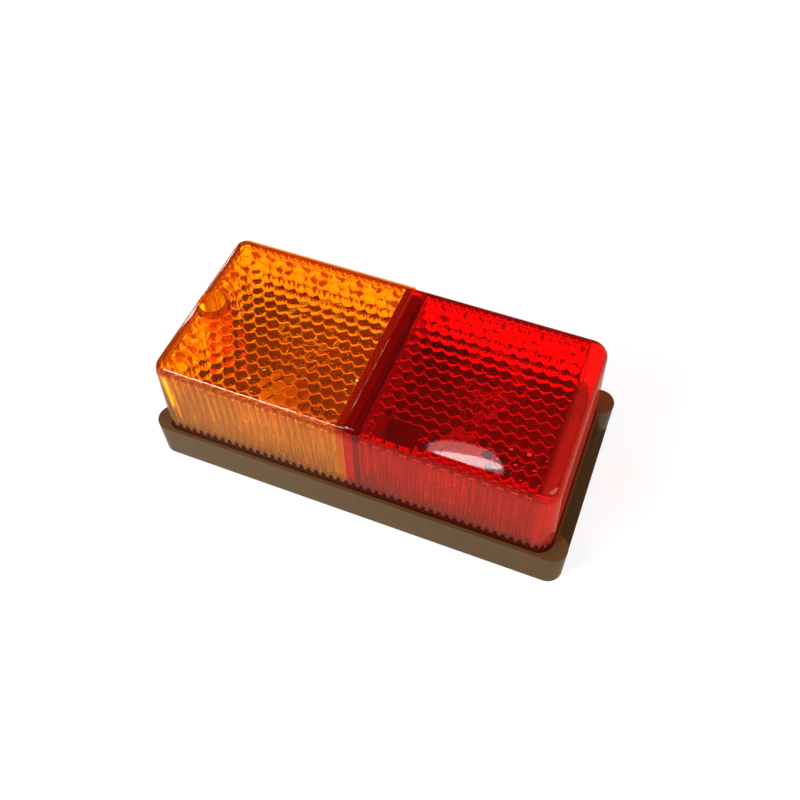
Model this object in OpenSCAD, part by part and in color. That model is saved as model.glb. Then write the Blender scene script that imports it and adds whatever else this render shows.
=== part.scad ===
// Two-section rear lamp lying on its back: an amber and a red lens on one moulded base.
// X runs along the lamp towards the red end, Y across it, Z out of the mounting face.
// The origin is the middle of the mounting face.

/* [Lens] */
// Length of the lens pair at the shoulder of its end walls
lens_l = 130; // [124:1:160]
// Width of the lens pair at the shoulder of its side walls
lens_w = 61; // [59:1:76]
// Height of the lens face above the mounting face
lamp_h = 46.5; // [44:0.5:60]
// Wall thickness of the lenses at the shoulder
lens_wall = 2; // [1.6:0.1:2.4]
// Thickness of the lens face
face_t = 2.8; // [2.4:0.1:3.4]
// How far each end wall leans out at its foot
end_draft = 1.2; // [0.4:0.1:1.6]
// How far each side wall leans out at its foot
side_draft = 0.6; // [0.2:0.1:1]
// Height of the rounded edge below the face
edge_h = 4.5; // [3:0.25:6]
// Width of the rounded edge on the amber lens and the plain strip
amber_edge = 1.5; // [0.8:0.1:2]
// Width of the rounded edge on the red lens
red_edge = 2.7; // [2:0.1:3.4]
// Corner radius of the amber lens
amber_corner = 4; // [3:0.25:5]
// Corner radius of the red lens
red_corner = 5.2; // [3:0.25:6]
// Distance of the seam between the lenses from the middle of the lamp
seam_x = -0.4; // [-2:0.1:2]

/* [Optics] */
// Distance between scales along a row
scale_pitch = 4.2; // [3.6:0.1:6]
// Distance between rows of scales
row_pitch = 3.6; // [3:0.1:5]
// Height of a scale above the inner face
scale_rise = 0.7; // [0.4:0.05:1]
// Distance between flutes on the inner walls
flute_pitch = 2.6; // [2:0.1:4]
// Height of a flute above the inner wall
flute_rise = 0.5; // [0.3:0.05:0.7]
// Width of the smooth border between the scales and the red end wall
red_border = 4.5; // [2:0.1:8]

/* [Screw well] */
// Distance from the end of the lens to the well's axis
well_inset = 5.5; // [5.4:0.1:7]
// Radius of the well
well_r = 4.25; // [4:0.05:4.5]
// Wall thickness of the well's tube
well_wall = 1.5; // [1.2:0.1:1.8]
// Height of the well's foot above the mounting face
well_foot = 17; // [15:0.5:19]

/* [Base] */
// Height of the base
base_h = 14.4; // [13:0.2:18]
// Wall thickness of the base
base_wall = 2.4; // [2:0.1:2.8]
// Thickness of the base's floor
floor_t = 2.5; // [2:0.1:3]
// Depth of the recess in the base's back
back_recess = 1.2; // [1:0.1:1.6]
// Width of the ledge in front of the lens
front_ledge = 1.4; // [1.2:0.1:2.4]
// Width of the ledge behind the lens
back_ledge = 4.4; // [1.4:0.1:5]
// Width of the ledge outside the lens at the ends
end_ledge = 1; // [0.9:0.1:2]
// How far the end flanges reach past the base's box
flange_reach = 4; // [3.8:0.1:8]
// Thickness of the end flanges
flange_t = 2; // [1.6:0.1:3]
// Radius of the corner posts
post_r = 5; // [4.6:0.1:5.6]
// Depth of the groove that takes the lens foot
groove_d = 2; // [1.6:0.1:2.4]
// Thickness of the lens gasket
gasket_t = 0.8; // [0.6:0.1:1.2]
// Thickness of the partition rib
rib_t = 2.4; // [1.8:0.1:2.6]
// Distance between the two mounting holes
mount_spacing = 94; // [92:1:96]
// Radius of a mounting hole
mount_hole_r = 2.75; // [2:0.05:3]
// Radius of the cable bore in the grommet
cable_r = 3.5; // [2.5:0.1:4]

/* [Bulbs] */
// Distance of each bulb's axis from the middle of the lamp
bulb_x = 30; // [29.5:0.5:31]
// Height of the bulb axes above the mounting face
bulb_z = 22; // [21:0.5:24]
// Largest radius of the bulb glass
glass_r = 13; // [11:0.25:13.5]
// Radius of the bulb cap
cap_r = 7.6; // [7:0.1:8]
// Overall length of a bulb with its solder contact
bulb_l = 49; // [46:0.5:50]
// Radial clearance between the bulb cap and its shell
cap_fit = 0.15; // [0.1:0.05:0.3]
// Wall thickness of the bayonet shell
shell_wall = 0.85; // [0.6:0.05:1.1]
// Distance from the solder contact to the front of the bulb cap
cap_l = 16; // [15:0.5:18]
// Distance from the solder contact to the bayonet pins
pin_l = 8.5; // [7.5:0.25:9.5]
// Distance from the solder contact to the front of the shell
shell_l = 13.5; // [12.5:0.5:14.5]
// Width of the springy leg of the single contact
single_leg_w = 5; // [4:0.5:6]
// Width of the springy legs of the pair of contacts
pair_leg_w = 4; // [3:0.5:4.5]
// Distance of each contact's rivet from the middle of its leg
contact_rivet_x = 8; // [6:0.5:9]
// Thickness of the steel brackets
bracket_t = 1.2; // [0.8:0.1:1.6]
// Thickness of the brass strips
strip_t = 0.8; // [0.5:0.1:1]

/* [Hidden] */
$fn = 48;
fit_gap = 0.15;      // clearance of the lens foot in its groove and of the gasket
lip_t = 1;           // thickness of the lip inside the groove
past = 1;            // how far a cut runs past the face it opens
skin = 0.01;         // thickness of the slices that shape the lens form

// Lens: half sizes of the shoulder, the foot and the cavity
half_l = lens_l / 2;
half_w = lens_w / 2;
foot_hl = half_l + end_draft;
foot_hw = half_w + side_draft;
cavity_hl = half_l - lens_wall;
cavity_hw = half_w - lens_wall;
cavity_top = lamp_h - face_t;
cavity_r = 2.5;
foot_z = base_h - groove_d + gasket_t;
flute_foot = base_h + 0.4;
divider_foot = base_h + 0.3;

// Divider: two walls of the red lens with a channel between them for the partition rib
divider_wall = 2;
channel_gap = 0.5;
channel_l = seam_x - 0.8;
channel_r = channel_l + rib_t + 2 * channel_gap;
strip_l = channel_l - divider_wall;
strip_r = channel_r + divider_wall;
lap_z = lamp_h - face_t / 2;
rib_mid = (channel_l + channel_r) / 2;

// Bare panel in the red lens, flush with the tops of the scales
panel = [14, 7.5];
panel_at = [strip_r + 3, -cavity_hw + 1.5];

// Base: half sizes
box_hl = foot_hl + end_ledge;
box_hw = foot_hw + (front_ledge + back_ledge) / 2;
lens_y = (front_ledge - back_ledge) / 2;    // the lens and all it covers stand this far off the base's middle
base_hl = box_hl + flange_reach;
box_r = 2;
post_x = base_hl - post_r;
post_y = box_hw - post_r;
shelf_top = base_h - groove_d;
shelf_t = 1.6;
lip_hl = cavity_hl - fit_gap - lip_t;
lip_hw = cavity_hw - fit_gap - lip_t;
floor_z = back_recess + floor_t;
rim_w = 4;
post_wall = 1.8;

// Screw well and its boss
well_x = -half_l + well_inset;
well_floor = 1.5;
screw_r = 1.9;
screw_head_r = 3.7;
screw_head_h = 2.4;
screw_hole_r = 2.3;
pilot_r = 2;
boss_r = 4.6;
boss_top = well_foot - 0.2;
screw_tip = floor_z + 1.4;

// Hooks on the red lens, that catch under the shelf at the red end
hook_y = 12;
hook_w = 8;
hook_t = 1.5;
hook_x = lip_hl - fit_gap;
hook_nose = 1.3;
hook_low = 8;
hook_high = 22;

// Grommet: stands in a hole of the floor beside the partition
grommet_at = [strip_l - 6.8, 12];
grommet_hole_r = cable_r + 1.5;
grommet_flange_r = grommet_hole_r + 1.6;
grommet_over = 1.5;
grommet_under = back_recess - 0.2;

// Bulbs and their holders lie along Y, cap towards the front wall
strip_leg_y = -lip_hw + 0.45;
insulator_y = strip_leg_y + strip_leg_t();
insulator_t = 1.8;
contact_y = insulator_y + insulator_t + 0.6;
cap_back = contact_y + 1.1;
cap_front = contact_y + cap_l;
pin_y = contact_y + pin_l;
pin_r = 1;
pin_reach = 1.2;
shell_r = cap_r + cap_fit;
shell_back = insulator_y + 0.6;
shell_front = contact_y + shell_l;
globe_y = contact_y + bulb_l - glass_r;
bracket_y = contact_y + 4.5;
bracket_w = 20;
bracket_foot_l = 15;
bracket_low = floor_z + strip_t;
button_gap = 3.2;    // distance of each of the two contacts of the red bulb from its axis
button_r = 1.4;

// Earth strip, blades and rivets on the floor
earth_y = bracket_y + bracket_t + 8;
earth_w = 8;
blade_w = 6.3;
blade_h = 8.5;
earth_blade_x = strip_l - 3;
contact_foot_w = 5.4;
contact_reach = 16;
rivet_r = 1.6;
rivet_head_r = 2.5;
rivet_head_h = 0.9;
rivet_spread = bracket_w / 2 - 3.5;
notch_gap = 0.5;

// Thickness of the springy strips behind the insulators
function strip_leg_t() = 0.5;

// Rounded rectangle in the plane, with its own corner radius at each end
module outline(hl, hw, left_r, right_r) {
    translate([-hl + left_r, -hw]) square([2 * hl - left_r - right_r, 2 * hw]);
    translate([-hl, left_r - hw]) square([left_r, 2 * (hw - left_r)]);
    translate([hl - right_r, right_r - hw]) square([right_r, 2 * (hw - right_r)]);
    for (side = [-1, 1]) {
        translate([-hl + left_r, side * (hw - left_r)]) circle(left_r);
        translate([hl - right_r, side * (hw - right_r)]) circle(right_r);
    }
}

// Moves what stands under the lens from the lens's own middle to its place on the base
module at_lens() {
    translate([0, lens_y, 0]) children();
}

// Prism on a rounded outline from height z0 to z1
module block(hl, hw, left_r, right_r, z0, z1) {
    translate([0, 0, z0]) linear_extrude(z1 - z0) outline(hl, hw, left_r, right_r);
}

// Box between two corners
module span(low, high) {
    translate(low) cube(high - low);
}

// One slice of the lens form, its outline drawn in by the inset at each side
module form_slice(z, end_out, side_out, inset) {
    translate([0, 0, z])
        linear_extrude(skin)
            outline(half_l + end_out - inset, half_w + side_out - inset,
                    amber_corner - inset / 2, red_corner - inset / 2);
}

// Closed outer form of both lenses: leaning walls and an elliptical edge of the given width
module lens_form(edge_in) {
    hull() {
        $fn = 32;
        form_slice(foot_z, end_draft, side_draft, 0);
        form_slice(lamp_h - edge_h, 0, 0, 0);
        for (a = [18 : 18 : 90])
            form_slice(lamp_h - skin - edge_h * (1 - sin(a)), 0, 0, edge_in * (1 - cos(a)));
    }
}

// Points of a fluted wall from one end to the other: n round flutes that stand out to the left of the way
function flutes(from, to, n) =
    let (way = (to - from) / norm(to - from), left = [-way[1], way[0]], parts = 4)
    [for (k = [0 : n * parts]) from + (to - from) * k / (n * parts)
        + left * flute_rise * sin(180 * (k % parts) / parts)];

// Number of flutes that fit on a length
function flute_count(length) = floor(length / flute_pitch);

// Fluted cavity of the amber lens, open towards the seam
module amber_cavity() {
    start = -cavity_hl + cavity_r;
    stop = strip_l - 1.4;
    side_n = flute_count(stop - start);
    end_n = flute_count(2 * (cavity_hw - cavity_r));
    points = concat(
        flutes([start, -cavity_hw], [stop, -cavity_hw], side_n),
        [[seam_x + past, -cavity_hw], [seam_x + past, cavity_hw]],
        flutes([stop, cavity_hw], [start, cavity_hw], side_n),
        flutes([-cavity_hl, cavity_hw - cavity_r], [-cavity_hl, cavity_r - cavity_hw], end_n));
    translate([0, 0, flute_foot]) linear_extrude(cavity_top - flute_foot) polygon(points);
}

// Fluted cavity of the red lens, from the divider to the red end
module red_cavity() {
    start = strip_r + 0.5;
    stop = cavity_hl - red_border;
    side_n = flute_count(stop - start);
    end_n = flute_count(2 * (cavity_hw - cavity_r));
    points = concat(
        [[strip_r, -cavity_hw]],
        flutes([start, -cavity_hw], [stop, -cavity_hw], side_n),
        [[cavity_hl - cavity_r, -cavity_hw]],
        flutes([cavity_hl, cavity_r - cavity_hw], [cavity_hl, cavity_hw - cavity_r], end_n),
        [[cavity_hl - cavity_r, cavity_hw]],
        flutes([stop, cavity_hw], [start, cavity_hw], side_n),
        [[strip_r, cavity_hw]]);
    translate([0, 0, flute_foot]) linear_extrude(cavity_top - flute_foot) polygon(points);
}

// Scalloped line of n scales from x0, at the given pitch, below the inside of the face
function scallops(x0, n, pitch) =
    [for (k = [0 : 4 * n]) [x0 + k * pitch / 4, cavity_top - 0.05 - scale_rise * sin(45 * (k % 4))]];

// Rows of scales that hang from the inside of the lens face, each row half a scale off the next
module scales(low, high) {
    sunk = 0.4;
    row_gap = 0.3;
    n = round((high[0] - low[0]) / scale_pitch);
    rows = round((high[1] - low[1]) / row_pitch);
    pitch = (high[0] - low[0]) / n;
    row = (high[1] - low[1]) / rows;
    for (j = [0 : rows - 1])
        let (shift = j % 2 == 0 ? 0 : pitch / 2)
        translate([0, low[1] + (j + 1) * row - row_gap / 2, 0]) rotate([90, 0, 0])
            linear_extrude(row - row_gap)
                polygon(concat(scallops(low[0] + shift, j % 2 == 0 ? n : n - 1, pitch),
                               [[high[0] - shift, cavity_top + sunk], [low[0] + shift, cavity_top + sunk]]));
}

// Amber lens: cup with scales and flutes, a lapped edge at the seam, and the tube of the screw well
module amber_lens() {
    at_lens() color([1, 0.55, 0.05, 0.85])
    difference() {
        union() {
            difference() {
                intersection() {
                    lens_form(amber_edge);
                    span([-foot_hl - past, -foot_hw - past, 0], [seam_x, foot_hw + past, lamp_h + past]);
                }
                block(cavity_hl, cavity_hw, cavity_r, cavity_r, foot_z - past, flute_foot + skin);
                amber_cavity();
                span([strip_l, -cavity_hw, cavity_top - past], [seam_x + past, cavity_hw, lap_z]);
            }
            scales([1.2 - cavity_hl, 0.9 - cavity_hw], [strip_l - 0.4, cavity_hw - 0.9]);
            intersection() {
                translate([well_x, 0, well_foot]) cylinder(r = well_r + well_wall, h = lamp_h - 1 - well_foot);
                span([-half_l + 0.4, -half_w, 0], [0, half_w, lamp_h]);
            }
        }
        translate([well_x, 0, well_foot + well_floor]) cylinder(r = well_r, h = lamp_h);
        translate([well_x, 0, well_foot - past]) cylinder(r = screw_hole_r, h = 2 * past + well_floor);
    }
}

// One hook of the red lens: a leg inside the lip with a nose that points outwards
module lens_hook() {
    span([hook_x - hook_t, -hook_w / 2, hook_low], [hook_x, hook_w / 2, hook_high]);
    span([hook_x - hook_t, -hook_w / 2, flute_foot], [cavity_hl + 0.5, hook_w / 2, hook_high]);
    span([hook_x - hook_t, -hook_w / 2, hook_low],
         [hook_x + hook_nose, hook_w / 2, shelf_top - shelf_t - 0.2]);
}

// Red lens: the same cup with a wider edge, the divider channel, a bare panel and two hooks
module red_lens() {
    at_lens() color([0.8, 0.03, 0.03, 0.85])
    union() {
        difference() {
            union() {
                intersection() {
                    lens_form(red_edge);
                    span([strip_r, -foot_hw - past, 0], [foot_hl + past, foot_hw + past, lamp_h + past]);
                }
                intersection() {
                    lens_form(amber_edge);
                    span([seam_x, -foot_hw - past, 0], [strip_r, foot_hw + past, lamp_h + past]);
                }
                span([strip_l, -cavity_hw, divider_foot], [seam_x, cavity_hw, lap_z]);
            }
            intersection() {
                block(cavity_hl, cavity_hw, cavity_r, cavity_r, foot_z - past, flute_foot + skin);
                span([strip_r, -cavity_hw, 0], [cavity_hl, cavity_hw, flute_foot + past]);
            }
            span([seam_x - past, -cavity_hw, foot_z - past], [strip_r + skin, cavity_hw, divider_foot]);
            span([channel_l, -cavity_hw, divider_foot - past], [channel_r, cavity_hw, cavity_top]);
            red_cavity();
        }
        scales([strip_r + 0.3, 0.9 - cavity_hw], [cavity_hl - red_border, cavity_hw - 0.9]);
        translate([panel_at[0], panel_at[1], cavity_top - scale_rise - 0.1])
            cube([panel[0], panel[1], scale_rise + 0.5]);
        for (side = [-1, 1]) translate([0, side * hook_y, 0]) lens_hook();
    }
}

// Gasket that lies in the groove under the foot of both lenses
module lens_gasket() {
    at_lens() color([0.12, 0.12, 0.12])
    difference() {
        block(foot_hl, foot_hw, amber_corner, red_corner, shelf_top, shelf_top + gasket_t);
        block(cavity_hl, cavity_hw, cavity_r, cavity_r, shelf_top - past, base_h);
    }
}

// Pan-head screw at the bottom of the well
module lens_screw() {
    head_z = well_foot + well_floor;
    slot_w = 1.1;
    slot_l = 4.6;
    at_lens() color([0.78, 0.78, 0.8])
    translate([well_x, 0, 0])
    difference() {
        union() {
            translate([0, 0, screw_tip]) cylinder(r = screw_r, h = head_z - screw_tip);
            translate([0, 0, head_z]) cylinder(r = screw_head_r, h = screw_head_h - 0.8);
            translate([0, 0, head_z + screw_head_h - 0.8])
                cylinder(r1 = screw_head_r, r2 = screw_head_r - 1, h = 0.8);
        }
        for (turn = [0, 90]) rotate([0, 0, turn])
            span([-slot_l / 2, -slot_w / 2, head_z + 0.9], [slot_l / 2, slot_w / 2, head_z + screw_head_h + past]);
    }
}

// Half-round pocket that cores out a corner post from the back
module post_core() {
    linear_extrude(base_h - post_wall)
        intersection() {
            circle(post_r - post_wall);
            translate([box_hl - post_x - 0.6, -post_r]) square([post_r, 2 * post_r]);
        }
}

// Walls, floor, flanges and corner posts of the base before anything is fitted to it
module base_tray() {
    difference() {
        union() {
            block(base_hl, box_hw, post_r, post_r, 0, flange_t);
            block(box_hl, box_hw, box_r, box_r, 0, base_h);
            for (sx = [-1, 1], sy = [-1, 1])
                translate([sx * post_x, sy * post_y, 0]) cylinder(r = post_r, h = base_h);
        }
        block(box_hl - base_wall, box_hw - base_wall, box_r, box_r, floor_z, shelf_top - shelf_t);
        at_lens() block(lip_hl, lip_hw, cavity_r, cavity_r, floor_z, base_h + past);
        at_lens() difference() {
            block(foot_hl + fit_gap, foot_hw + fit_gap, amber_corner, red_corner, shelf_top, base_h + past);
            block(lip_hl + lip_t, lip_hw + lip_t, cavity_r, cavity_r, shelf_top - past, base_h + 2 * past);
        }
        block(box_hl - rim_w, box_hw - rim_w, box_r, box_r, -past, back_recess);
        for (sx = [0, 1], sy = [-1, 1])
            mirror([sx, 0, 0]) translate([post_x, sy * post_y, -past]) post_core();
    }
}

// Upright things on the floor of the base: partition rib, screw boss, mounting bosses
module base_uprights() {
    low = back_recess;
    span([rib_mid - rib_t / 2, base_wall / 2 - box_hw, low], [rib_mid + rib_t / 2, box_hw - base_wall / 2, shelf_top]);
    at_lens() span([rib_mid - rib_t / 2, -lip_hw - lip_t / 2, low],
                   [rib_mid + rib_t / 2, lip_hw + lip_t / 2, cavity_top - channel_gap]);
    at_lens() translate([well_x, 0, low]) cylinder(r = boss_r, h = boss_top - low);
    for (side = [-1, 1])
        translate([side * mount_spacing / 2, 0, 0]) cylinder(r = mount_hole_r + 2.5, h = floor_z + 2);
}

// Base housing: one black moulding
module base_housing() {
    color([0.1, 0.08, 0.07])
    difference() {
        union() {
            base_tray();
            base_uprights();
        }
        for (side = [-1, 1])
            translate([side * mount_spacing / 2, 0, -past]) cylinder(r = mount_hole_r, h = floor_z + 4 * past);
        at_lens() {
            translate([well_x, 0, floor_z]) cylinder(r = pilot_r, h = base_h + boss_top);
            translate([grommet_at[0], grommet_at[1], -past]) cylinder(r = grommet_hole_r, h = base_h);
            span([rib_mid - rib_t, earth_y - earth_w / 2 - notch_gap, floor_z],
                 [rib_mid + rib_t, earth_y + earth_w / 2 + notch_gap, floor_z + strip_t + notch_gap]);
            for (side = [-1, 1], spread = [-1, 1])
                translate([side * bulb_x + spread * rivet_spread, earth_y, -past])
                    cylinder(r = rivet_r + 0.05, h = base_h);
            for (at = contact_rivet_places())
                translate([at[0], at[1], -past]) cylinder(r = rivet_r + 0.05, h = base_h / 2);
        }
    }
}

// Rubber grommet with a flange on each side of the floor
module cable_grommet() {
    at_lens() color([0.08, 0.08, 0.08])
    translate([grommet_at[0], grommet_at[1], 0])
    difference() {
        union() {
            translate([0, 0, back_recess - grommet_under])
                cylinder(r = grommet_flange_r, h = grommet_under);
            translate([0, 0, back_recess - grommet_under])
                cylinder(r = grommet_hole_r - 0.05, h = grommet_under + floor_t + grommet_over);
            translate([0, 0, floor_z]) cylinder(r1 = grommet_flange_r, r2 = grommet_flange_r - 0.6, h = grommet_over);
        }
        translate([0, 0, -past]) cylinder(r = cable_r, h = base_h);
    }
}

// Cylinder along Y on the axis of a bulb, between two places on it, turned about that axis
module along_y(r, y0, y1, turn = 0) {
    translate([0, y0, bulb_z]) rotate([-90, 0, 0]) rotate([0, 0, turn]) cylinder(r = r, h = y1 - y0);
}

// Steel bracket: an upright plate round the shell and a foot riveted to the floor
module bulb_bracket() {
    at_lens() color([0.72, 0.72, 0.74])
    difference() {
        union() {
            span([-bracket_w / 2, bracket_y, bracket_low], [bracket_w / 2, bracket_y + bracket_t, bulb_z]);
            along_y(bracket_w / 2, bracket_y, bracket_y + bracket_t);
            span([-bracket_w / 2, bracket_y, bracket_low],
                 [bracket_w / 2, bracket_y + bracket_foot_l, bracket_low + bracket_t]);
        }
        along_y(shell_r + shell_wall + 0.05, bracket_y - past, bracket_y + bracket_t + past);
        for (spread = [-1, 1])
            translate([spread * rivet_spread, earth_y, 0]) cylinder(r = rivet_r + 0.05, h = bulb_z / 2);
    }
}

// Bayonet shell: a tube with an open slot for each pin of the cap
module bulb_shell() {
    slot_w = 2 * pin_r + 0.4;
    reach = shell_r + shell_wall + past;
    at_lens() color([0.8, 0.78, 0.7])
    difference() {
        along_y(shell_r + shell_wall, shell_back, shell_front, 90);
        along_y(shell_r, shell_back - past, shell_front + past, 90);
        span([-reach, pin_y - slot_w / 2, bulb_z - slot_w / 2], [reach, shell_front + past, bulb_z + slot_w / 2]);
    }
}

// Insulator disc in the back of a shell, with a hole for each contact
module bulb_insulator(buttons) {
    at_lens() color([0.35, 0.2, 0.1])
    difference() {
        along_y(shell_r - 0.1, insulator_y, insulator_y + insulator_t);
        for (x = buttons) translate([x, 0, 0]) along_y(button_r + 0.1, insulator_y - past, contact_y);
    }
}

// Brass cap of a bulb, with its two pins and a solder contact for each place given
module bulb_cap(buttons) {
    at_lens() color([0.8, 0.65, 0.35]) {
        along_y(cap_r, cap_back, cap_front);
        for (x = buttons) translate([x, 0, 0]) along_y(button_r + 0.3, contact_y + 0.05, cap_back + skin);
        for (side = [0, 180]) translate([0, pin_y, bulb_z]) rotate([0, side + 90, 0])
            cylinder(r = pin_r, h = cap_r + pin_reach);
    }
}

// Glass envelope of a bulb: neck, shoulder and globe turned round its axis
module bulb_glass() {
    neck_r = cap_r - 1;
    span_l = globe_y - cap_front;
    at_lens() color([0.9, 0.95, 1, 0.4])
    translate([0, cap_front, bulb_z]) rotate([-90, 0, 0])
    rotate_extrude()
    union() {
        intersection() {
            translate([0, span_l]) circle(glass_r);
            square([glass_r, span_l + glass_r]);
        }
        polygon([[0, 0], [neck_r, 0], [neck_r, 2], [glass_r * 0.9, span_l - glass_r * 0.43], [0, span_l]]);
    }
}

// Contact strip: button, springy leg behind the insulator, foot on the floor and an upright blade.
// The way is 1 where the foot runs towards +X and -1 where it runs towards -X.
module contact_strip(way, leg_w) {
    foot_y = strip_leg_y;
    blade_x = contact_reach;
    at_lens() color([0.82, 0.68, 0.36])
    difference() {
        union() {
            along_y(button_r, strip_leg_y, contact_y);
            span([-leg_w / 2, foot_y, floor_z], [leg_w / 2, foot_y + strip_leg_t(), bulb_z + leg_w / 2]);
            mirror([way < 0 ? 1 : 0, 0, 0]) {
                span([-leg_w / 2, foot_y, floor_z], [blade_x, foot_y + contact_foot_w, floor_z + strip_t]);
                span([blade_x - strip_t, foot_y, floor_z], [blade_x, foot_y + blade_w, floor_z + blade_h]);
            }
        }
        translate([way * contact_rivet_x, foot_y + contact_foot_w / 2, 0]) cylinder(r = rivet_r + 0.05, h = base_h);
    }
}

// Places of the rivets that hold the contact strips: indicator, tail, stop
function contact_rivet_places() =
    let (y = strip_leg_y + contact_foot_w / 2)
    [[-bulb_x + contact_rivet_x, y],
     [bulb_x - button_gap - contact_rivet_x, y],
     [bulb_x + button_gap + contact_rivet_x, y]];

// Earth strip on the floor under both brackets, with one blade
module earth_strip() {
    reach = bulb_x + bracket_w / 2;
    at_lens() color([0.8, 0.7, 0.45])
    difference() {
        union() {
            span([-reach, earth_y - earth_w / 2, floor_z], [reach, earth_y + earth_w / 2, floor_z + strip_t]);
            span([earth_blade_x - strip_t, earth_y - blade_w / 2, floor_z], [earth_blade_x, earth_y + blade_w / 2, floor_z + blade_h]);
        }
        for (side = [-1, 1], spread = [-1, 1])
            translate([side * bulb_x + spread * rivet_spread, earth_y, 0]) cylinder(r = rivet_r + 0.05, h = base_h);
    }
}

// Rivet through a stack that ends at the given height, closed in the recess of the back
module rivet(stack_top) {
    translate([0, 0, back_recess - rivet_head_h]) cylinder(r = rivet_head_r - 0.3, h = rivet_head_h);
    translate([0, 0, back_recess - rivet_head_h]) cylinder(r = rivet_r, h = stack_top - back_recess + rivet_head_h);
    translate([0, 0, stack_top]) cylinder(r1 = rivet_head_r, r2 = rivet_head_r - 0.9, h = rivet_head_h);
}

module bracket_rivets() {
    at_lens() color([0.7, 0.7, 0.72])
    for (side = [-1, 1], spread = [-1, 1])
        translate([side * bulb_x + spread * rivet_spread, earth_y, 0]) rivet(bracket_low + bracket_t);
}

module contact_rivets() {
    at_lens() color([0.8, 0.66, 0.36])
    for (at = contact_rivet_places()) translate([at[0], at[1], 0]) rivet(floor_z + strip_t);
}

module indicator_bracket() translate([-bulb_x, 0, 0]) bulb_bracket();
module indicator_shell() translate([-bulb_x, 0, 0]) bulb_shell();
module indicator_insulator() translate([-bulb_x, 0, 0]) bulb_insulator([0]);
module indicator_contact() translate([-bulb_x, 0, 0]) contact_strip(1, single_leg_w);
module indicator_bulb_cap() translate([-bulb_x, 0, 0]) bulb_cap([0]);
module indicator_bulb_glass() translate([-bulb_x, 0, 0]) bulb_glass();
module stop_tail_bracket() translate([bulb_x, 0, 0]) bulb_bracket();
module stop_tail_shell() translate([bulb_x, 0, 0]) bulb_shell();
module stop_tail_insulator() translate([bulb_x, 0, 0]) bulb_insulator([-button_gap, button_gap]);
module stop_contact() translate([bulb_x + button_gap, 0, 0]) contact_strip(1, pair_leg_w);
module tail_contact() translate([bulb_x - button_gap, 0, 0]) contact_strip(-1, pair_leg_w);
module stop_tail_bulb_cap() translate([bulb_x, 0, 0]) bulb_cap([-button_gap, button_gap]);
module stop_tail_bulb_glass() translate([bulb_x, 0, 0]) bulb_glass();

base_housing();
lens_gasket();
amber_lens();
red_lens();
lens_screw();
cable_grommet();
indicator_bracket();
indicator_shell();
indicator_insulator();
indicator_contact();
indicator_bulb_cap();
indicator_bulb_glass();
stop_tail_bracket();
stop_tail_shell();
stop_tail_insulator();
stop_contact();
tail_contact();
stop_tail_bulb_cap();
stop_tail_bulb_glass();
earth_strip();
bracket_rivets();
contact_rivets();
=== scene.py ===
"""Looks of a two-section rear lamp: amber and red lenses on a dark glossy base, lying on its back.

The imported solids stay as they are, apart from both lenses and both bulb glasses. The lenses are rebuilt here
with round scales under the face and flutes on the walls, and the bulbs get hollow glass and filaments. Sizes
are in millimetres where nothing else is said, and MM turns them into the metres of the scene.
"""

from __future__ import annotations

import logging
import math
from collections.abc import Callable, Iterable
from dataclasses import dataclass, field
from enum import Enum

import bmesh
import bpy
from mathutils import Matrix, Vector

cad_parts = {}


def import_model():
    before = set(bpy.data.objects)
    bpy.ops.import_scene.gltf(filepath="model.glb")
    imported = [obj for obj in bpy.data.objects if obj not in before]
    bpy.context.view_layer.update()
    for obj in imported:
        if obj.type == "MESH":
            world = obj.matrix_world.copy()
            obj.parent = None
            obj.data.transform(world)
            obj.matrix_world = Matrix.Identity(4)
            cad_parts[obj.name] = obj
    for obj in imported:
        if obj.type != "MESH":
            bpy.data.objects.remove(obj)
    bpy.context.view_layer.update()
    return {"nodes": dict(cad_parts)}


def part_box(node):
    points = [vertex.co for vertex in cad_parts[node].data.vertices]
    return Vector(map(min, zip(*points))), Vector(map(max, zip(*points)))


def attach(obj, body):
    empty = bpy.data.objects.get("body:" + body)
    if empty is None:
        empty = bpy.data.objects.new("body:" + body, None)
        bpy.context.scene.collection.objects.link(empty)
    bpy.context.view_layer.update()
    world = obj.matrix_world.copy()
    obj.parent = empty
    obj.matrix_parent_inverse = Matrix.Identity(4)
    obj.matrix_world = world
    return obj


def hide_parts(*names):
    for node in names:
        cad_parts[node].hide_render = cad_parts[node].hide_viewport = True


MM = 0.001
# Share of the half size of a lens's inner sheet past which a point lies on its rim.
ON_RIM = 0.9999
# Numbers of the colour sockets of a Mix node, whose names aren't unique: both inputs and the result.
MIX_FIRST, MIX_SECOND, MIX_RESULT = 6, 7, 2
log = logging.getLogger("rear_lamp")

Pair = tuple[float, float]
Triple = tuple[float, float, float]
Colour = Triple


class Shape(Enum):
    """How a carving tool changes the piece that it is used on."""

    JOIN = "UNION"
    CUT = "DIFFERENCE"


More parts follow.
